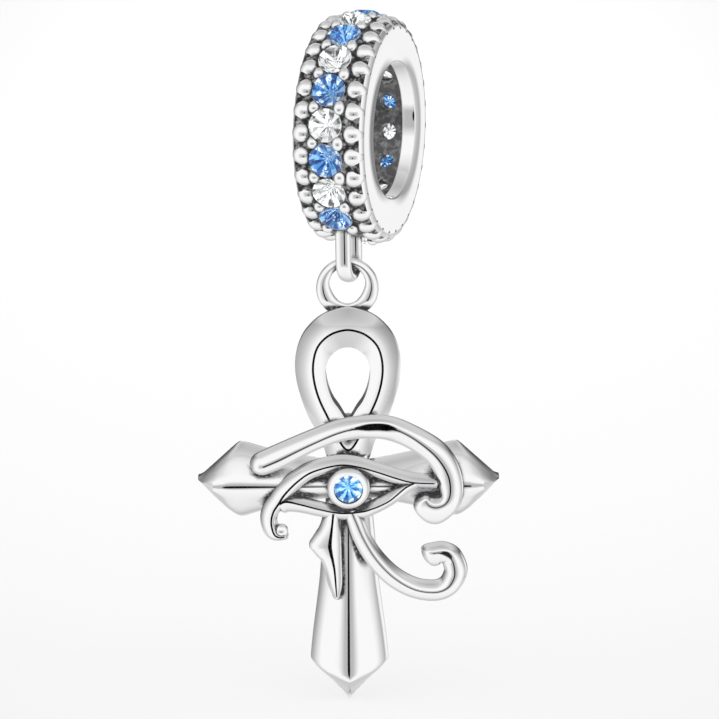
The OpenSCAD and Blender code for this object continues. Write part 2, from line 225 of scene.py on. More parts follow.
# Materials
def newFinish(name):
    finish = bpy.data.materials.new(name)
    finish.use_nodes = True
    nodes = finish.node_tree.nodes
    return finish, nodes, finish.node_tree.links, nodes["Principled BSDF"]


silverTone = {
    "polished": (0.9, 0.9, 0.905, 1), "dark": (0.045, 0.045, 0.05, 1),
    "roughness": (0.042, 0.126), "darkRoughness": 0.4,
    # how fine the unevenness of hand polishing and the grain at the rim of the dark are,
    # and how deep the unevenness is
    "clouds": 900, "grains": 9000, "bumpStrength": 0.05, "bumpHeight": 0.00001,
    # reach of the painted recess shade in metres, and how open a place is where it starts and where it is
    # full
    "recess": 0.0004, "open": 0.97, "closed": 0.62,
    # how far the grain shifts the rim of the dark, on either side, and between which values that rim runs
    "grain": 0.55, "grainShift": -0.27, "rim": (0.72, 0.98),
}


def makeSilver():
    t = silverTone
    finish, nodes, links, shader = newFinish("polishedSilver")
    shader.inputs["Metallic"].default_value = 1
    place = nodes.new("ShaderNodeTexCoord")
    cloud = nodes.new("ShaderNodeTexNoise")          # faint unevenness of hand polishing
    cloud.inputs["Scale"].default_value = t["clouds"]
    cloud.inputs["Detail"].default_value = 3
    gloss = nodes.new("ShaderNodeMapRange")
    gloss.inputs["To Min"].default_value, gloss.inputs["To Max"].default_value = t["roughness"]
    grain = nodes.new("ShaderNodeTexNoise")          # breaks up the rim of the dark recesses
    grain.inputs["Scale"].default_value = t["grains"]
    grain.inputs["Detail"].default_value = 4
    shade = nodes.new("ShaderNodeAttribute")
    shade.attribute_name = "patina"
    # painted shade: ambient occlusion darkens the colour in recesses and where pieces meet, on top of the
    # painted patina
    recess = nodes.new("ShaderNodeAmbientOcclusion")
    recess.samples = 8
    recess.inputs["Distance"].default_value = t["recess"]
    recessShade = nodes.new("ShaderNodeMapRange")
    recessShade.inputs["From Min"].default_value = t["open"]
    recessShade.inputs["From Max"].default_value = t["closed"]
    patinaAndShade = nodes.new("ShaderNodeMath")
    patinaAndShade.operation = "MAXIMUM"
    spread = nodes.new("ShaderNodeMath")
    spread.operation = "MULTIPLY_ADD"
    spread.inputs[1].default_value = t["grain"]
    spread.inputs[2].default_value = t["grainShift"]
    together = nodes.new("ShaderNodeMath")
    together.operation = "ADD"
    edge = nodes.new("ShaderNodeValToRGB")
    edge.color_ramp.elements[0].position, edge.color_ramp.elements[1].position = t["rim"]
    tone = nodes.new("ShaderNodeMix")
    tone.data_type = "RGBA"
    tone.inputs["A"].default_value = t["polished"]
    tone.inputs["B"].default_value = t["dark"]
    rough = nodes.new("ShaderNodeMix")
    rough.inputs["B"].default_value = t["darkRoughness"]
    bump = nodes.new("ShaderNodeBump")
    bump.inputs["Strength"].default_value = t["bumpStrength"]
    bump.inputs["Distance"].default_value = t["bumpHeight"]
    links.new(place.outputs["Object"], cloud.inputs["Vector"])
    links.new(place.outputs["Object"], grain.inputs["Vector"])
    links.new(cloud.outputs["Fac"], gloss.inputs["Value"])
    links.new(grain.outputs["Fac"], spread.inputs[0])
    links.new(spread.outputs[0], together.inputs[0])
    links.new(recess.outputs["AO"], recessShade.inputs["Value"])
    links.new(recessShade.outputs["Result"], patinaAndShade.inputs[0])
    links.new(shade.outputs["Fac"], patinaAndShade.inputs[1])
    links.new(patinaAndShade.outputs[0], together.inputs[1])
    links.new(together.outputs[0], edge.inputs["Fac"])
    links.new(edge.outputs["Color"], tone.inputs["Factor"])
    links.new(tone.outputs["Result"], shader.inputs["Base Color"])
    links.new(edge.outputs["Color"], rough.inputs["Factor"])
    links.new(gloss.outputs["Result"], rough.inputs["A"])
    links.new(rough.outputs["Result"], shader.inputs["Roughness"])
    links.new(cloud.outputs["Fac"], bump.inputs["Height"])
    links.new(bump.outputs["Normal"], shader.inputs["Normal"])
    return finish


# how fine the grains and the rubbed patches are, and between which values of the patches the rubbing runs
groundTone = {"grains": 8500, "patches": 5200, "rubbedFrom": 0.46, "rubbedTo": 0.7, "roughness": 0.32}


def makeDarkGround(name, deep, rubbed, bumpHeight):
    # blackened metal round the stones, with bright grains where it has rubbed clean
    t = groundTone
    finish, nodes, links, shader = newFinish(name)
    shader.inputs["Metallic"].default_value = 1
    place = nodes.new("ShaderNodeTexCoord")
    grain = nodes.new("ShaderNodeTexVoronoi")
    grain.inputs["Scale"].default_value = t["grains"]
    cloud = nodes.new("ShaderNodeTexNoise")
    cloud.inputs["Scale"].default_value = t["patches"]
    cloud.inputs["Detail"].default_value = 5
    tone = nodes.new("ShaderNodeValToRGB")
    tone.color_ramp.elements[0].position = t["rubbedFrom"]
    tone.color_ramp.elements[0].color = (deep, deep, deep * 1.05, 1)
    tone.color_ramp.elements[1].position = t["rubbedTo"]
    tone.color_ramp.elements[1].color = (rubbed, rubbed, rubbed, 1)
    bump = nodes.new("ShaderNodeBump")
    bump.inputs["Strength"].default_value = 1
    bump.inputs["Distance"].default_value = bumpHeight
    shader.inputs["Roughness"].default_value = t["roughness"]
    links.new(place.outputs["Object"], grain.inputs["Vector"])
    links.new(place.outputs["Object"], cloud.inputs["Vector"])
    links.new(cloud.outputs["Fac"], tone.inputs["Fac"])
    links.new(tone.outputs["Color"], shader.inputs["Base Color"])
    links.new(grain.outputs["Distance"], bump.inputs["Height"])
    links.new(bump.outputs["Normal"], shader.inputs["Normal"])
    return finish


stoneTone = {"ior": 1.5, "facePatches": 3500, "backPatches": 8200, "backRoughness": 0.05, "facetShare": 0.5}


def makeStoneFace(name, tint, edgeTint):
    # crown of a cut stone: clear, and a little uneven in colour from facet to facet
    finish, nodes, links, shader = newFinish(name)
    place = nodes.new("ShaderNodeTexCoord")
    patch = nodes.new("ShaderNodeTexVoronoi")
    patch.inputs["Scale"].default_value = stoneTone["facePatches"]
    tone = nodes.new("ShaderNodeMix")
    tone.data_type = "RGBA"
    tone.inputs["A"].default_value = tint
    tone.inputs["B"].default_value = edgeTint
    split = nodes.new("ShaderNodeSeparateColor")
    shader.inputs["Transmission Weight"].default_value = 1
    shader.inputs["IOR"].default_value = stoneTone["ior"]
    shader.inputs["Roughness"].default_value = 0.0
    links.new(place.outputs["Object"], patch.inputs["Vector"])
    links.new(patch.outputs["Color"], split.inputs["Color"])
    links.new(split.outputs["Red"], tone.inputs["Factor"])
    links.new(tone.outputs["Result"], shader.inputs["Base Color"])
    return finish


def makeStoneBack(name, tones, glow):
    # pavilion of a cut stone: a mirror with painted reflection in small bright and deep patches, and a
    # painted glow in the same colours
    finish, nodes, links, shader = newFinish(name)
    shader.inputs["Metallic"].default_value = 1
    shader.inputs["Roughness"].default_value = stoneTone["backRoughness"]
    place = nodes.new("ShaderNodeTexCoord")
    patch = nodes.new("ShaderNodeTexVoronoi")
    patch.inputs["Scale"].default_value = stoneTone["backPatches"]
    facet = nodes.new("ShaderNodeAttribute")
    facet.attribute_name = "cut"
    both = nodes.new("ShaderNodeMath")
    both.operation = "MULTIPLY_ADD"
    both.inputs[1].default_value = stoneTone["facetShare"]
    patchPart = nodes.new("ShaderNodeMath")
    patchPart.operation = "MULTIPLY"
    patchPart.inputs[1].default_value = 1 - stoneTone["facetShare"]
    split = nodes.new("ShaderNodeSeparateColor")
    tone = nodes.new("ShaderNodeValToRGB")
    tone.color_ramp.interpolation = "CONSTANT"
    elements = tone.color_ramp.elements
    while len(elements) < len(tones):
        elements.new(0.5)
    for element, (at, colour) in zip(elements, tones):
        element.position = at
        element.color = (*colour, 1)
    links.new(place.outputs["Object"], patch.inputs["Vector"])
    links.new(patch.outputs["Color"], split.inputs["Color"])
    links.new(split.outputs["Red"], patchPart.inputs[0])
    links.new(facet.outputs["Fac"], both.inputs[0])
    links.new(patchPart.outputs[0], both.inputs[2])
    links.new(both.outputs[0], tone.inputs["Fac"])
    links.new(tone.outputs["Color"], shader.inputs["Base Color"])
    # painted glow: the pavilion gives off light in its own colours, though it is no lamp
    links.new(tone.outputs["Color"], shader.inputs["Emission Color"])
    shader.inputs["Emission Strength"].default_value = glow
    return finish


# the pavilion's colours, each with the value from which it shows: the stone's deep tints up to a painted
# white glint
blueTones = ((0, (0.01, 0.04, 0.17)), (0.24, (0.02, 0.11, 0.4)), (0.43, (0.07, 0.27, 0.63)),
             (0.64, (0.27, 0.53, 0.8)), (0.85, (1.0, 1.0, 1.0)))
eyeTones = ((0, (0.02, 0.1, 0.37)), (0.21, (0.05, 0.25, 0.63)), (0.41, (0.16, 0.47, 0.84)),
            (0.6, (0.42, 0.73, 0.95)), (0.84, (1.0, 1.0, 1.0)))
clearTones = ((0, (0.1, 0.11, 0.11)), (0.2, (0.42, 0.44, 0.44)), (0.42, (0.74, 0.76, 0.76)),
              (0.62, (1.0, 1.0, 1.0)))
silver = makeSilver()
darkGround = makeDarkGround("darkGround", 0.035, 0.5, 0.00006)
channelGround = makeDarkGround("channelGround", 0.1, 0.26, 0.00001)
blueFace = makeStoneFace("blueCrown", (0.8, 0.93, 1.0, 1), (0.9, 0.97, 1.0, 1))
# the last number is each pavilion's painted glow
blueBack = makeStoneBack("bluePavilion", blueTones, 0.24)
eyeBack = makeStoneBack("eyePavilion", eyeTones, 0.38)
clearFace = makeStoneFace("clearCrown", (1.0, 1.0, 1.0, 1), (0.96, 0.97, 1.0, 1))
clearBack = makeStoneBack("clearPavilion", clearTones, 0.32)
print("materials made")

# Bead
beadSizes = {
    "yaw": 18.0, "turn": 16.0,            # degrees: about the upright, and about its own hole
    "holeRadius": 2.4, "lip": 0.5, "channelRadius": 3.25, "groundRadius": 3.85,
    "halfWidth": 1.3, "faceRadius": 3.66, "rimBase": 3.84, "groundHalf": 0.76,
    "steps": 180,
}
beadPlace = turnAbout("Z", -beadSizes["yaw"]) @ turnAbout("Y", 90) @ turnAbout("Z", -beadSizes["turn"])

rowSizes = {"stones": 18, "pitch": 18.0, "first": 28.3, "girdleRadius": 4.0, "stone": 1.2, "gap": 0.03}


def onRow(index, radius, height=0.0):
    # a place on the row of stones, looking outwards along its own Z
    return (turnAbout("Z", -rowSizes["first"] - index * rowSizes["pitch"])
            @ Matrix.Translation((radius, 0, height)) @ turnAbout("Y", 90))


def makeRingBody():
    s = beadSizes
    lipIn = s["halfWidth"] - s["lip"]
    upper = [
        (s["channelRadius"], lipIn), (s["holeRadius"] + 0.04, lipIn), (s["holeRadius"], lipIn + 0.04),
        (s["holeRadius"], s["halfWidth"] - 0.12), (s["holeRadius"] + 0.03, s["halfWidth"] - 0.04),
        (s["holeRadius"] + 0.1, s["halfWidth"]), (s["faceRadius"] - 0.12, s["halfWidth"]),
        (s["faceRadius"], s["halfWidth"] - 0.015), (s["faceRadius"] + 0.1, s["halfWidth"] - 0.05),
        (s["faceRadius"] + 0.17, s["halfWidth"] - 0.11), (s["faceRadius"] + 0.22, s["halfWidth"] - 0.19),
        (s["rimBase"] + 0.05, s["halfWidth"] - 0.28), (s["rimBase"], s["halfWidth"] - 0.38),
        (s["rimBase"], s["groundHalf"]), (s["groundRadius"], s["groundHalf"] - 0.03),
    ]
    outline = upper + [(r, -h) for r, h in reversed(upper)]
    ring = spun("beadBody", outline, s["steps"])
    # tapered hole under each stone, out of which its point shows in the channel
    half = rowSizes["stone"] / 2
    wide = half + rowSizes["gap"]
    taper = [(0, -1.2), (0.3, -1.2), (0.3, -0.32), (wide, -0.05), (wide, 0.5), (0, 0.5)]
    cutter = spun("seatCutter", taper, 28)
    seats = copiesOf(cutter, [onRow(k, rowSizes["girdleRadius"]) for k in range(rowSizes["stones"])], "seats")
    tidyMesh(seats)
    pickOnly(ring)
    cut = ring.modifiers.new("seats", "BOOLEAN")
    cut.operation = "DIFFERENCE"
    cut.solver = "EXACT"
    cut.object = seats
    bpy.ops.object.modifier_apply(modifier=cut.name)
    bpy.data.objects.remove(cutter)
    bpy.data.objects.remove(seats)
    # polished on its faces and lips, blackened in the channel and between the rims
    ring.data.materials.append(silver)
    ring.data.materials.append(darkGround)
    ring.data.materials.append(channelGround)
    for face in ring.data.polygons:
        x, y, z = face.center
        r = math.hypot(x, y)
        inChannel = r < s["channelRadius"] + 0.02 and abs(z) < lipIn + 0.01 and r > s["holeRadius"] + 0.02
        sunk = abs(z) < s["halfWidth"] - 0.12 and r > s["faceRadius"] + 0.1
        seat = s["channelRadius"] - 0.01 < r and abs(z) < s["groundHalf"] - 0.01
        face.material_index = 2 if inChannel else 1 if sunk or seat else 0
    smoothOver(ring, 32)
    return settle(ring, beadPlace, "bead", None)


rimSizes = {
    "count": 30, "middleRadius": 3.62, "middleOut": 0.9,
    "tangent": 0.385, "radial": 0.41, "across": 0.4,        # half sizes of a ball
}


def makeRims():
    s = rimSizes
    bpy.ops.mesh.primitive_uv_sphere_add(segments=20, ring_count=14, radius=1)
    ball = nameIt("rimBall")
    bpy.ops.object.mode_set(mode="EDIT")
    bpy.ops.mesh.select_all(action="SELECT")
    bpy.ops.transform.resize(value=(s["radial"], s["tangent"], s["across"]), orient_type="GLOBAL",
                             center_override=(0, 0, 0))
    bpy.ops.object.mode_set(mode="OBJECT")
    smoothOver(ball, 60)

    def dark(x, y, z):
        # blackened where it meets its neighbours, and at its foot except towards the side face
        beside = 2.4 * abs(y) / s["tangent"] - 1.2
        foot = 3.2 - 4 * x / s["radial"] - 2 * max(0, z) / s["across"]
        return max(beside, foot)

    paintPatina(ball, dark)
    places = []
    for k in range(s["count"]):
        turn = turnAbout("Z", (k + 0.5) * 360 / s["count"])
        out = Matrix.Translation((s["middleRadius"], 0, s["middleOut"]))
        places.append(turn @ out)
        places.append(turn @ turnAbout("X", 180) @ out)
    rims = copiesOf(ball, places, "rimBeads")
    bpy.data.objects.remove(ball)
    return settle(rims, beadPlace, "bead", silver)


# long: for either side of the row, the prong's length as a multiple of its width
prongSizes = {"radius": 0.2, "side": 0.46, "out": 3.97, "long": {1: 1.3, -1: 1.06}}


def makeProngs():
    s = prongSizes
    rows = []
    for side, long in s["long"].items():
        bpy.ops.mesh.primitive_uv_sphere_add(segments=20, ring_count=12, radius=s["radius"])
        ball = nameIt("prong")
        bpy.ops.object.mode_set(mode="EDIT")
        bpy.ops.mesh.select_all(action="SELECT")
        bpy.ops.transform.resize(value=(1, long, 1), orient_type="GLOBAL", center_override=(0, 0, 0))
        bpy.ops.object.mode_set(mode="OBJECT")
        smoothOver(ball, 60)
        # blackened round its foot
        paintPatina(ball, lambda x, y, z: 1.0 - 1.6 * z / s["radius"])
        places = [onRow(k - 0.5, s["out"], side * s["side"]) for k in range(rowSizes["stones"] + 1)]
        rows.append(copiesOf(ball, places, "prongRow"))
        bpy.data.objects.remove(ball)
    pickOnly(*rows)
    bpy.ops.object.join()
    prongs = nameIt("prongs")
    return settle(prongs, beadPlace, "bead", silver)


loopSizes = {
    "band": 0.56, "thick": 0.42, "legs": 1.27, "reach": 4.655, "root": 3.5,
    "fullness": 2.2,        # 2 is an ellipse, and more is fuller
    "plumb": 19.0,          # degrees that the loop is turned back under the bead
}


def makeFixedLoop():
    s = loopSizes
    bend = s["legs"] / 2
    rows = [(s["root"], -bend), (s["root"] + 0.4, -bend), (s["reach"] - 0.3, -bend)]
    rows += [(s["reach"] + bend * math.sin(math.radians(a)), -bend * math.cos(math.radians(a)))
             for a in range(0, 181, 9)]
    rows += [(s["reach"] - 0.3, bend), (s["root"] + 0.4, bend), (s["root"], bend)]
    t, w = s["thick"] / 2, s["band"] / 2
    section = []
    for k in range(24):
        turn = 2 * math.pi * k / 24
        u, v = math.cos(turn), math.sin(turn)
        full = (abs(u) ** s["fullness"] + abs(v) ** s["fullness"]) ** (-1 / s["fullness"])
        section.append((t * u * full, w * v * full))
    loop = sweep("fixedLoop", [(x, z, 1, 1, 1) for x, z in rows], section)
    smoothOver(loop, 50)
    # the loop's legs hang almost plumb from the turned bead
    bendMiddle = Matrix.Translation((s["reach"], 0, 0))
    plumb = bendMiddle @ turnAbout("Z", s["plumb"]) @ bendMiddle.inverted()
    return settle(loop, beadPlace @ plumb @ turnAbout("X", -90), "bead", silver)


cutShares = {
    "table": 0.55, "kite": 0.78, "low": 0.3, "point": 0.015,        # shares of the stone's radius
    "crown": 0.15, "girdle": 0.04, "pavilion": 0.42,                # heights as shares of its width
}


def makeStone(name, size):
    r = size / 2
    girdle = size * cutShares["girdle"] / 2
    tableRadius = r * cutShares["table"]
    tableHeight = girdle + size * cutShares["crown"]
    kiteRadius = r * cutShares["kite"]
    halfTurn = 360 / 16         # degrees, half the way from one kite to the next
    kite = math.cos(math.radians(halfTurn))
    kiteHeight = tableHeight + (girdle - tableHeight) * (kiteRadius * kite - tableRadius) / (r - tableRadius)
    tip = -girdle - size * cutShares["pavilion"]
    lowRadius = r * cutShares["low"]
    lowHeight = tip + (-girdle - tip) * lowRadius * kite / r
    rings = [(8, tableRadius, tableHeight, 0), (8, kiteRadius, kiteHeight, halfTurn), (16, r, girdle, 0),
             (16, r, -girdle, 0), (8, lowRadius, lowHeight, halfTurn), (8, r * cutShares["point"], tip, 0)]
    stone = None
    for count, radius, height, turn in rings:
        bpy.ops.mesh.primitive_circle_add(vertices=count, radius=radius, location=(0, 0, height),
                                          rotation=(0, 0, math.radians(turn)))
        if stone is None:
            stone = nameIt(name)
            bpy.ops.object.transform_apply(location=True)
            bpy.ops.object.mode_set(mode="EDIT")
    bpy.ops.mesh.select_all(action="SELECT")
    bpy.ops.mesh.convex_hull()
    bpy.ops.object.mode_set(mode="OBJECT")
    tidyMesh(stone, 0.000001)
    # painted reflection: the facets are given light and deep tones by turns, with a painted bright point
    cut = stone.data.attributes.new("cut", "FLOAT", "FACE")
    for part in stone.data.polygons:
        turn, out = math.atan2(part.center.y, part.center.x), math.hypot(part.center.x, part.center.y)
        cut.data[part.index].value = 1 if out < lowRadius else 0.5 + 0.5 * math.sin(8 * turn)
    return stone


def setStone(stone, place, body, node, face, back):
    underGirdle = -0.026
    stone.data.materials.append(face)
    stone.data.materials.append(back)
    for part in stone.data.polygons:
        part.material_index = 1 if part.center.z < underGirdle and part.normal.z < -0.05 else 0
    settle(stone, place, body, None)
    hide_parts(node)


def makeStones():
    pattern = makeStone("pattern", rowSizes["stone"])
    ownTurn = 11            # degrees, so that no two stones throw back the same light
    for k in range(rowSizes["stones"]):
        blue = k % 2 == 0
        number = k // 2 + 1
        name = f"{'blue' if blue else 'clear'}Stone{number}"
        stone = copiesOf(pattern, [turnAbout("Z", ownTurn * k)], name)
        setStone(stone, beadPlace @ onRow(k, rowSizes["girdleRadius"]), "bead",
                 f"{'blue' if blue else 'clear'}_stone_{number}",
                 blueFace if blue else clearFace, blueBack if blue else clearBack)
    bpy.data.objects.remove(pattern)


beadBody = makeRingBody()
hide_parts("bead")
makeRims()
makeProngs()
makeFixedLoop()
makeStones()
print("bead made")

# Pendant
ankhSizes = {
    "top": 6.28, "stem": 8.1, "arm": 5.37, "crest": 1.4, "loopCrest": 1.15, "wall": 0.15,
    "back": 0.5, "backSlope": 0.3, "softCrest": 0.42, "crestFlat": 0.04,
    "hangHeight": 7.84, "tilt": 3.6, "lean": 0.3,       # the last two in degrees
    "armTip": (0.6, 0.72), "stemTip": (0.45, 0.6),      # length over which the crest falls, share it loses
}
hinge = Vector((-0.4565, -1.2203, -4.5997))     # where the ring hangs in the fixed loop, on the swing's axis
ringSizes = {
    "outer": 1.11, "middle": 6.89, "depth": -0.06,
    "topWire": 0.165, "sideWire": 0.375, "growth": 2.5, "thinned": 0.1,
    "front": 0.23, "crestFlat": 0.16, "setBack": 0.15, "setBackFrom": 6.45, "setBackOver": 0.3,
}
pendantPlace = (Matrix.Translation(hinge)
                @ turnAbout("X", ankhSizes["tilt"]) @ turnAbout("Y", -ankhSizes["lean"])
                @ Matrix.Translation((0, ringSizes["depth"], -ankhSizes["hangHeight"])))


def lowerOutline(half, back):
    # an upright edge, and a flat back with sloped edges
    flat = half - min(ankhSizes["backSlope"], half * 0.6)
    return [(half, ankhSizes["wall"]), (half, 0), (flat, -back), (-flat, -back), (-half, 0)]


def crestedSection(half, crest, back):
    # outline across a crested bar, in millimetres, with arched slopes that run softly over the crest
    wall = ankhSizes["wall"]
    soft = min(ankhSizes["softCrest"] / half, 0.55)
    shoulder = 1 / (1 + 0.275 * soft / (1 - soft))
    slope = [(soft + (1 - soft) * f, shoulder * (1 - 0.55 * f - 0.45 * f ** 6))
             for f in (0.975, 0.91, 0.8, 0.62, 0.4, 0.2)]
    arch = slope + [(soft * share, 1 - (1 - shoulder) * share * share) for share in (1, 0.75, 0.5, 0.25)]
    left = [(-half * u, wall + v * (crest - wall)) for u, v in arch]
    right = [(half * u, wall + v * (crest - wall)) for u, v in reversed(arch)]
    return [(-half, wall)] + left + [(0, crest)] + right + lowerOutline(half, back)


def facetedSection(half, crest, back, lean):
    # the round loop has a narrow flat along its crest and arched slopes that get steeper outwards;
    # lean moves the crest towards the hole, and the slope on that side ends higher, above an upright wall
    wall = ankhSizes["wall"]
    narrow = ankhSizes["crestFlat"]
    shares = (0.985, 0.95, 0.87, 0.74, 0.58, 0.4, 0.2, 0.0)

    def slope(side, straight, steep):
        edge = narrow * side + lean
        width = abs(half * side - edge)
        drop = min(crest - wall, steep * width)
        return [(edge + (half * side - edge) * t, crest - drop * (straight * t + (1 - straight) * t * t))
                for t in shares]

    limb = max(0.0, min(1.0, (lean + 0.13) / 0.2))      # 0 at the loop's top, 1 along its sides
    front = slope(-1, 0.45, 1.7) + slope(1, 0.97 - 0.37 * limb, 1.2 - 0.4 * limb)[::-1]
    return [(-half, wall)] + front + lowerOutline(half, back)


def crestedBar(name, rows, along, back):
    # rows: (distance, half width, distance of the crest), extruded along a direction of the front
    ax, az = along
    crest = ankhSizes["crest"]
    first = crestedSection(rows[0][1], crest, back)
    bpy.ops.mesh.primitive_circle_add(vertices=len(first), radius=1, fill_type="NGON")
    bar = nameIt(name)

    def put(vert, row, u, v):
        rise = max(0.0, (v - ankhSizes["wall"]) / (crest - ankhSizes["wall"]))
        d = row[0] + rise * (row[2] - row[0])
        vert.co = (ax * d + az * u, -v, az * d - ax * u)

    for vert, (u, v) in zip(bar.data.vertices, first):
        put(vert, rows[0], u, v)
    bpy.ops.object.mode_set(mode="EDIT")
    bpy.ops.mesh.select_all(action="SELECT")
    for i in range(1, len(rows)):
        d = rows[i][0] - rows[i - 1][0]
        bpy.ops.mesh.extrude_region_move(
            TRANSFORM_OT_translate={"value": (ax * d, 0, az * d), "orient_type": "GLOBAL"})
    bpy.ops.object.mode_set(mode="OBJECT")
    size = len(first)
    for i in range(1, len(rows)):
        for j, (u, v) in enumerate(crestedSection(rows[i][1], crest, back)):
            put(bar.data.vertices[i * size + j], rows[i], u, v)
    tidyMesh(bar)
    return bar


def lowerTips(bar, along, length, tip):
    # the crest falls towards the tips
    ax, az = along
    reach, share = tip
    wall = ankhSizes["wall"]
    for vert in bar.data.vertices:
        near = max(0.0, (abs(ax * vert.co.x + az * vert.co.z) - length + reach) / reach)
        if near and -vert.co.y > wall:
            vert.co.y = -wall + (vert.co.y + wall) * (1 - share * near)
    return bar


def makeArms():
    length = ankhSizes["arm"]
    half = smoothRows([(0, 0.62, 0), (0.8, 0.69, 0.8), (1.6, 0.83, 1.6), (2.3, 0.98, 2.3), (3, 1.14, 3.02),
                       (3.6, 1.32, 3.75)], 4)
    half += [(3.74, 1.355, 3.92), (3.84, 1.36, 4.05), (3.93, 1.32, 4.2), (4.02, 1.25, 4.33), (4.2, 1.09, 4.5)]
    # (way to the tip, half width, way of the crest to the tip)
    tip = [(0.6, 0.57, 0.56), (0.25, 0.25, 0.3), (0.1, 0.11, 0.21), (0.03, 0.06, 0.18), (0, 0.03, 0.16)]
    half += [(length - a, b, length - c) for a, b, c in tip]
    rows = [(-a, b, -c) for a, b, c in reversed(half[1:])] + half
    arms = crestedBar("ankhArms", rows, (1, 0), ankhSizes["back"])
    return lowerTips(arms, (1, 0), length, ankhSizes["armTip"])


def makeStem():
    length = ankhSizes["stem"]
    rows = smoothRows([(-0.95, 0.7, -0.95), (-0.3, 0.72, -0.3), (0.5, 0.8, 0.5), (1.5, 0.88, 1.5),
                       (3.1, 1.01, 3.1), (3.8, 1.07, 3.8), (4.6, 1.17, 4.6), (5.7, 1.31, 5.7),
                       (length - 1.6, 1.39, length - 1.5)], 4)
    # (way to the tip, half width, way of the crest to the tip)
    tip = [(1.5, 1.395, 1.38), (1.4, 1.36, 1.26), (1.3, 1.28, 1.14), (1.12, 1.11, 1.04), (0.6, 0.58, 0.95),
           (0.25, 0.24, 0.91), (0.1, 0.11, 0.9), (0.03, 0.06, 0.89), (0, 0.03, 0.89)]
    rows += [(length - a, b, length - c) for a, b, c in tip]
    stem = crestedBar("ankhStem", rows, (0, -1), ankhSizes["back"] - 0.02)
    return lowerTips(stem, (0, -1), length, ankhSizes["stemTip"])


def makeRoundLoop():
    # rows: (side, height, half width, lean of the crest towards the hole)
    top = ankhSizes["top"]
    half = smoothRows([(0, top - 0.75, 0.73, -0.13), (0.46, top - 0.84, 0.7, -0.11),
                       (0.83, top - 1.07, 0.66, -0.08), (1.13, top - 1.38, 0.6, 0),
                       (1.33, top - 1.98, 0.555, 0.09), (1.3, 3.68, 0.54, 0.12),
                       (1.16, 3.12, 0.535, 0.135), (0.98, 2.67, 0.56, 0.15), (0.78, 2.33, 0.6, 0.12),
                       (0.39, 1.66, 0.62, 0.04), (0, 1.28, 1.14, -0.09)], 8)
    rows = half + [(-x, z, w, lean) for x, z, w, lean in reversed(half[1:-1])]
    # evened out along the closed path
    for _ in range(12):
        rows = [tuple((p + 2 * q + r) / 4 for p, q, r in zip(rows[i - 1], rows[i], rows[(i + 1) % len(rows)]))
                for i in range(len(rows))]
    crest, back = ankhSizes["loopCrest"], ankhSizes["back"] - 0.04
    sections = [facetedSection(w, crest, back, lean) for x, z, w, lean in rows]
    count, size = len(rows), len(sections[0])
    bpy.ops.mesh.primitive_circle_add(vertices=size, radius=1, fill_type="NGON")
    loop = nameIt("ankhLoop")
    bpy.ops.object.mode_set(mode="EDIT")
    bpy.ops.mesh.select_all(action="SELECT")
    for i in range(1, count):
        bpy.ops.mesh.extrude_region_move(TRANSFORM_OT_translate={"value": (0, 0, 1), "orient_type": "GLOBAL"})
    bpy.ops.object.mode_set(mode="OBJECT")
    for i in range(count):
        before, after = rows[(i - 1) % count], rows[(i + 1) % count]
        turn = math.atan2(after[1] - before[1], after[0] - before[0])
        x, z = rows[i][:2]
        for j, (u, v) in enumerate(sections[i]):
            loop.data.vertices[i * size + j].co = (x + u * math.sin(turn), -v, z - u * math.cos(turn))
    joinEnds(loop, size)
    tidyMesh(loop)
    return loop


def narrowFlat(section, flat):
    # the point on the crest gives way to a narrow polished flat
    out = []
    for u, v in section:
        if abs(u) > 0.001 or v < 0.5:
            out.append((u, v))
        else:
            side = 1 if section[0][0] > 0 else -1
            out += [(side * flat, v), (-side * flat, v)]
    return out


def makeHangingRing():
    s = ringSizes
    rows = []
    steps = 72
    for i in range(steps):
        # the wire is thinnest at the top, where it runs in the fixed loop,
        # and lower down its crest lies at one depth
        a = 2 * math.pi * i / steps
        down = abs(math.sin(a / 2))
        wire = s["topWire"] + (s["sideWire"] - s["topWire"]) * down ** s["growth"]
        wire -= s["thinned"] * max(0.0, -math.cos(a)) ** 2
        deep = s["topWire"] + (s["front"] - s["topWire"]) * min(1.0, 1.5 * down)
        radius = s["outer"] - wire
        rows.append((radius * math.sin(a), s["middle"] + radius * math.cos(a), wire, wire, deep))
    section = [(math.cos(b), math.sin(b)) for b in (math.radians(15 * k) for k in range(-5, 19))]
    ring = sweep("hangingRing", rows, narrowFlat(section, s["crestFlat"]), s["depth"], closed=True)
    # its lower end runs back into the thickness of the round loop
    for vert in ring.data.vertices:
        below = (s["setBackFrom"] - vert.co.z) / s["setBackOver"]
        vert.co.y += s["setBack"] * max(0.0, min(1.0, below)) ** 1.5
    return ring


def finishMetal(piece, degrees):
    smoothOver(piece, degrees)
    return settle(piece, pendantPlace, "pendant", silver)


arms = finishMetal(makeArms(), 32)
finishMetal(makeStem(), 32)
finishMetal(makeRoundLoop(), 26)
finishMetal(makeHangingRing(), 60)
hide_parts("pendant")
print("ankh made")

# Eye
eyeSizes = {
    "back": 1.2, "line": 0.68, "steps": 6, "crestFlat": 0.12, "foot": 0.055,
    "bezel": 1.5, "bezelHeight": 0.9, "sunk": 0.1, "stone": 1.0, "rise": 0.06, "ball": 0.25,
}
# where a round line is flatter across: side, height, reach round that place,
# and the share of its depth that its shoulders gain
flatter = {"brow": (1.02, 2.36, 0.8, 0.1), "tail": (3.5, -2.38, 0.28, 0.1)}

# outlines across the two kinds of line: (share of the half width, share of the depth)
lineFoot = [(0.94, 0.12), (0.76, 0.0), (-0.76, 0.0), (-0.94, 0.12)]
roundTop = [(math.sin(math.radians(a)), 0.3 + 0.7 * math.cos(math.radians(a))) for a in range(-90, 91, 15)]
roundLine = roundTop + lineFoot
ridgeTop = [(-1.0, 0.28), (-0.96, 0.42), (-0.84, 0.6), (-0.66, 0.75), (-0.46, 0.86), (-0.24, 0.94),
            (-0.08, 0.985), (0, 1.0)]
ridgeLine = ridgeTop + [(-u, v) for u, v in reversed(ridgeTop[:-1])] + lineFoot

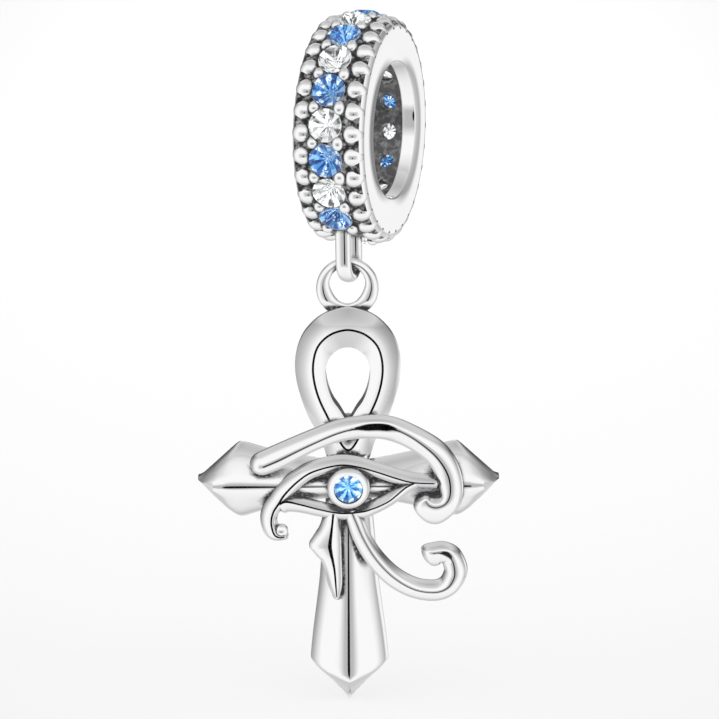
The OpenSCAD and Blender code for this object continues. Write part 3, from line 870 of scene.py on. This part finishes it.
# (side, height on the crest, half width left of the way along, half width right of it)
browRows = [(-3.02, 0.83, 0.44, 0.36), (-2.7, 0.965, 0.45, 0.37), (-2.36, 1.12, 0.45, 0.37),
            (-1.3, 1.65, 0.38, 0.34), (-0.23, 2.12, 0.31, 0.43), (0.83, 2.35, 0.21, 0.58),
            (1.53, 2.29, 0.21, 0.6), (2.24, 1.95, 0.26, 0.54), (2.94, 1.39, 0.4, 0.46),
            (3.33, 0.93, 0.43, 0.45), (3.57, 0.46, 0.41, 0.49), (3.62, 0.02, 0.45, 0.41),
            (3.56, -0.32, 0.48, 0.32), (3.38, -0.53, 0.6, 0.23), (3.1, -0.6, 0.78, 0.21),
            (2.88, -0.53, 0.68, 0.17), (2.76, -0.38, 0.5, 0.12)]
upperLidRows = [(-2.26, -1.7, 0.2, 0.16), (-2.45, -1.73, 0.22, 0.2), (-2.64, -1.6, 0.33, 0.2),
                (-2.73, -1.2, 0.38, 0.15), (-2.66, -0.82, 0.38, 0.2), (-2.46, -0.48, 0.36, 0.28),
                (-2.24, -0.14, 0.34, 0.28), (-1.77, 0.34, 0.27, 0.3), (-1.24, 0.68, 0.23, 0.31),
                (-0.35, 0.91, 0.19, 0.31), (0.32, 0.85, 0.19, 0.29), (0.99, 0.66, 0.17, 0.29),
                (1.7, 0.42, 0.18, 0.3), (2.3, 0.26, 0.18, 0.26), (3.12, 0.22, 0.14, 0.26)]
lowerLidRows = [(-2.46, -0.5, 0.12, 0.5), (-2.2, -0.4, 0.12, 0.52), (-1.67, -0.52, 0.11, 0.42),
                (-0.97, -0.71, 0.1, 0.38), (-0.26, -0.84, 0.08, 0.36), (0.45, -0.79, 0.08, 0.38),
                (0.8, -0.7, 0.12, 0.34), (1.16, -0.56, 0.15, 0.3), (1.51, -0.36, 0.17, 0.28),
                (2.01, 0.07, 0.15, 0.32), (2.35, 0.24, 0.1, 0.3)]
tailRows = [(0.12, -0.8, 0.24, 0.34), (0.27, -1.16, 0.23, 0.37), (0.58, -1.86, 0.18, 0.42),
            (1.03, -2.6, 0.2, 0.44), (1.63, -3.23, 0.22, 0.46), (2.34, -3.66, 0.26, 0.43),
            (3.05, -3.77, 0.28, 0.43), (3.5, -3.62, 0.32, 0.41), (3.73, -3.28, 0.35, 0.41),
            (3.76, -2.96, 0.36, 0.42), (3.66, -2.51, 0.47, 0.29), (3.33, -2.29, 0.58, 0.21),
            (2.98, -2.3, 0.63, 0.17)]
markRows = [(-0.54, -0.86, 0.3, 0.32), (-0.57, -1.2, 0.28, 0.34), (-0.61, -1.55, 0.34, 0.42),
            (-0.64, -1.85, 0.37, 0.59), (-0.65, -2.03, 0.39, 0.71), (-0.65, -2.1, 0.39, 0.76),
            (-0.64, -2.17, 0.38, 0.73), (-0.6, -2.42, 0.35, 0.57), (-0.56, -2.62, 0.31, 0.44),
            (-0.5, -3, 0.26, 0.36), (-0.46, -3.6, 0.22, 0.25), (-0.44, -3.96, 0.12, 0.13)]
# how far a line runs on past its first and its last row, drawn in to a round end
endRounding = {"brow": (0.42, 0.14), "upperLid": (0.05, 0.08), "lowerLid": (0.16, 0.05), "tail": (0.1, 0.36),
               "tearMark": (0.1, 0.16)}


def eyeLine(name, rows, section, sunk):
    line = eyeSizes["line"]
    base = eyeSizes["back"] - sunk
    smooth = smoothRows([(x, z, left, right, line) for x, z, left, right in rows], eyeSizes["steps"])
    start, end = endRounding[name]
    smooth = turned(roundedEnd(turned(roundedEnd(smooth, end)), start))
    piece = sweep(name, smooth, narrowFlat(section, eyeSizes["crestFlat"]), base)
    # its foot is a little wider, so that its blackened side shows round the line
    foot = [vert for vert in piece.data.vertices if (-vert.co.y - base) / line < 0.2]
    for vert, out in [(vert, Vector((vert.normal.x, 0, vert.normal.z)).normalized()) for vert in foot]:
        vert.co += out * eyeSizes["foot"]
    if name in flatter:
        side, height, reach, gained = flatter[name]
        for vert in piece.data.vertices:
            near = max(0.0, 1 - math.dist((vert.co.x, vert.co.z), (side, height)) / reach)
            share = (-vert.co.y - base) / line
            if share > 0.5:
                vert.co.y = -base - line * min(1.0, share + gained * min(1.0, near * 2.5))

    def dark(x, y, z):
        # up its sides from the foot, with the flat back polished
        share = (-y - base) / line
        return 0.3 if share < 0.02 else 1.15 - share / 0.28

    paintPatina(piece, dark)
    return finishMetal(piece, 60)


eyeLine("brow", browRows, roundLine, 0)
eyeLine("upperLid", upperLidRows, ridgeLine, 0.015)
eyeLine("lowerLid", lowerLidRows, ridgeLine, 0.03)
eyeLine("tail", tailRows, roundLine, 0.045)
eyeLine("tearMark", markRows, ridgeLine, 0.06)


def makeCurlBall():
    # small ball that ends the curl at the left of the upper lid
    reach, side, height = eyeSizes["ball"], -2.39, -1.53
    bpy.ops.mesh.primitive_uv_sphere_add(segments=32, ring_count=20, radius=reach)
    ball = nameIt("curlBall")
    place = Matrix.Translation((side, -(eyeSizes["back"] + eyeSizes["line"] * 0.98 - reach), height))
    ball.data.transform(place)
    return finishMetal(ball, 60)


def onEye(height):
    # a place on the axis of the eye's setting, at a height over its foot, looking out to the front
    foot = (0, -eyeSizes["back"] + eyeSizes["sunk"] - height, eyeSizes["rise"])
    return pendantPlace @ Matrix.Translation(foot) @ turnAbout("X", 90)


def makeBezel():
    # a low dome outside, and an open cone under the stone
    s = eyeSizes
    r = s["bezel"] / 2
    seat = s["stone"] / 2 + 0.01
    top = s["bezelHeight"] + s["sunk"]
    outline = [(0, 0), (r, 0), (r, top - 0.32), (r - 0.015, top - 0.24), (r - 0.05, top - 0.15),
               (r - 0.1, top - 0.08), (r - 0.16, top - 0.03), (seat + 0.03, top), (seat + 0.005, top - 0.02),
               (seat, top - 0.24), (0, top - 0.76)]
    bezel = spun("eyeBezel", outline, 72)
    paintPatina(bezel, lambda x, y, z: 1.0 if math.hypot(x, y) < seat - 0.01 else 1.2 - z / 0.35)
    smoothOver(bezel, 50)
    return settle(bezel, onEye(0), "pendant", silver)


makeCurlBall()
makeBezel()
eyeStone = makeStone("eyeStone", eyeSizes["stone"])
girdleAt = onEye(eyeSizes["bezelHeight"] - eyeSizes["sunk"])
setStone(eyeStone, girdleAt, "pendant", "eye_stone", blueFace, eyeBack)
print("eye made")

# Studio
studio = {
    "floor": -20.54, "lookAt": (-0.025, 0.0, -8.3),         # millimetres
    "cameraDistance": 0.2, "cameraRise": 9.4, "lens": 280.4,        # metres, degrees and millimetres
    "glow": 0.3, "strength": 1.05,
    "opening": (-4, -17),       # heading and rise of the dark opening in front, in degrees as all below
    # the tent: (angle from the opening, brightness)
    "tent": ((0, 0.0), (7.2, 0.0), (9.0, 1.0), (84, 1.0), (96, 0.86), (110, 0.68), (126, 0.46), (142, 0.26),
             (152, 0.1), (180, 0.06)),
    # a dim band across the opening: (heading from it, brightness),
    # and (angle from straight down, share of the band)
    "bandAcross": ((0, 0.5), (26, 0.52), (40, 0.7), (56, 0.94), (62, 1.0), (90, 1.0)),
    "bandUp": ((0, 0.0), (52, 0.0), (64, 1.0), (90, 1.0), (108, 0.0), (180, 0.0)),
    # dimmer towards the roof: (angle from straight down, brightness)
    "roof": ((0, 0.9), (60, 1.0), (135, 1.0), (150, 0.86), (165, 0.72), (180, 0.66)),
    # panels: (heading, rise), full within and none outside these angles,
    # brightness in the middle and at the first angle
    "panels": (((180, 10), 5.5, 8, 1.0, 1.0), ((145, -8), 8, 20, 0.95, 0.95), ((180, -58), 42, 56, 0.5, 0.7),
               ((180, 62), 36, 60, 0.46, 0.68)),
    # dim corner low at the back: (heading, rise), full within and none outside these angles, share of light
    "corner": ((180, -55), 22, 42, 0.85),
}


def makeFloor():
    # a glossy white table, lit through from below, that the metal doesn't mirror and that darkens no recess
    bpy.ops.mesh.primitive_plane_add(size=6, location=(0, 0, studio["floor"] * metre))
    floor = nameIt("studioFloor")
    finish, _, _, shader = newFinish("whiteAcrylic")
    shader.inputs["Base Color"].default_value = (0.66, 0.66, 0.66, 1)
    shader.inputs["Roughness"].default_value = 0.16
    shader.inputs["Emission Color"].default_value = (1, 1, 1, 1)
    shader.inputs["Emission Strength"].default_value = studio["glow"]
    floor.data.materials.append(finish)
    floor.visible_glossy = False
    floor.visible_shadow = False


def makeSky():
    # a white tent round the charm: dark in a small opening in front and at its far side, dimmer in a band
    # across the opening, towards the roof and in a low corner, with a few lit panels
    world = bpy.data.worlds.new("whiteTent")
    scene.world = world
    world.use_nodes = True
    nodes, links = world.node_tree.nodes, world.node_tree.links
    sky = nodes["Background"]
    place = nodes.new("ShaderNodeTexCoord")

    def calc(operation, *values):
        node = nodes.new("ShaderNodeMath")
        node.operation = operation
        for slot, value in zip(node.inputs, values):
            if isinstance(value, (int, float)):
                slot.default_value = value
            else:
                links.new(value, slot)
        return node.outputs[0]

    def ramp(source, stops, scale):
        # stops: (value of the source, brightness), the source running from 0 to scale
        node = nodes.new("ShaderNodeValToRGB")
        elements = node.color_ramp.elements
        while len(elements) < len(stops):
            elements.new(0.5)
        for element, (at, value) in zip(elements, stops):
            element.position = at / scale
            element.color = (value, value, value, 1)
        links.new(calc("DIVIDE", source, scale), node.inputs["Fac"])
        return node.outputs["Color"]

    def angleFrom(heading, rise):
        h, e = math.radians(heading), math.radians(rise)
        dot = nodes.new("ShaderNodeVectorMath")
        dot.operation = "DOT_PRODUCT"
        dot.inputs[1].default_value = (math.sin(h) * math.cos(e), -math.cos(h) * math.cos(e), math.sin(e))
        links.new(place.outputs["Generated"], dot.inputs[0])
        return calc("MULTIPLY", calc("ARCCOSINE", dot.outputs["Value"]), 180 / math.pi)

    split = nodes.new("ShaderNodeSeparateXYZ")
    links.new(place.outputs["Generated"], split.inputs["Vector"])
    front = calc("MULTIPLY", split.outputs["Y"], -1)
    heading = calc("MULTIPLY", calc("ARCTAN2", split.outputs["X"], front), 180 / math.pi)
    rise = calc("ADD", calc("MULTIPLY", calc("ARCSINE", split.outputs["Z"]), 180 / math.pi), 90)
    tent = ramp(angleFrom(*studio["opening"]), studio["tent"], 180)
    across = ramp(calc("ABSOLUTE", calc("SUBTRACT", heading, studio["opening"][0])), studio["bandAcross"], 90)
    bandShare = ramp(rise, studio["bandUp"], 180)
    band = calc("SUBTRACT", 1, calc("MULTIPLY", bandShare, calc("SUBTRACT", 1, across)))
    together = calc("MULTIPLY", calc("MULTIPLY", tent, band), ramp(rise, studio["roof"], 180))
    cornerAt, full, none, share = studio["corner"]
    corner = ramp(angleFrom(*cornerAt), ((0, share), (full, share), (none, 1.0), (180, 1.0)), 180)
    together = calc("MULTIPLY", together, corner)
    for panelAt, full, none, middle, value in studio["panels"]:
        panel = ramp(angleFrom(*panelAt), ((0, middle), (full, value), (none, 0.0), (180, 0.0)), 180)
        together = calc("MAXIMUM", together, panel)
    # the backdrop itself is plain white
    path = nodes.new("ShaderNodeLightPath")
    links.new(calc("MAXIMUM", together, path.outputs["Is Camera Ray"]), sky.inputs["Color"])
    sky.inputs["Strength"].default_value = studio["strength"]


def makeCamera():
    rise = math.radians(studio["cameraRise"])
    target = Vector(studio["lookAt"]) * metre
    towards = Vector((0, -math.cos(rise), math.sin(rise)))
    bpy.ops.object.camera_add(location=target + studio["cameraDistance"] * towards,
                              rotation=(math.radians(90) - rise, 0, 0))
    camera = bpy.context.object
    camera.data.lens = studio["lens"]
    camera.data.sensor_width = 36
    camera.data.clip_start = 0.01
    camera.data.clip_end = 10
    scene.camera = camera


makeFloor()
makeSky()
makeCamera()
scene.view_settings.view_transform = "Standard"
print("studio made")
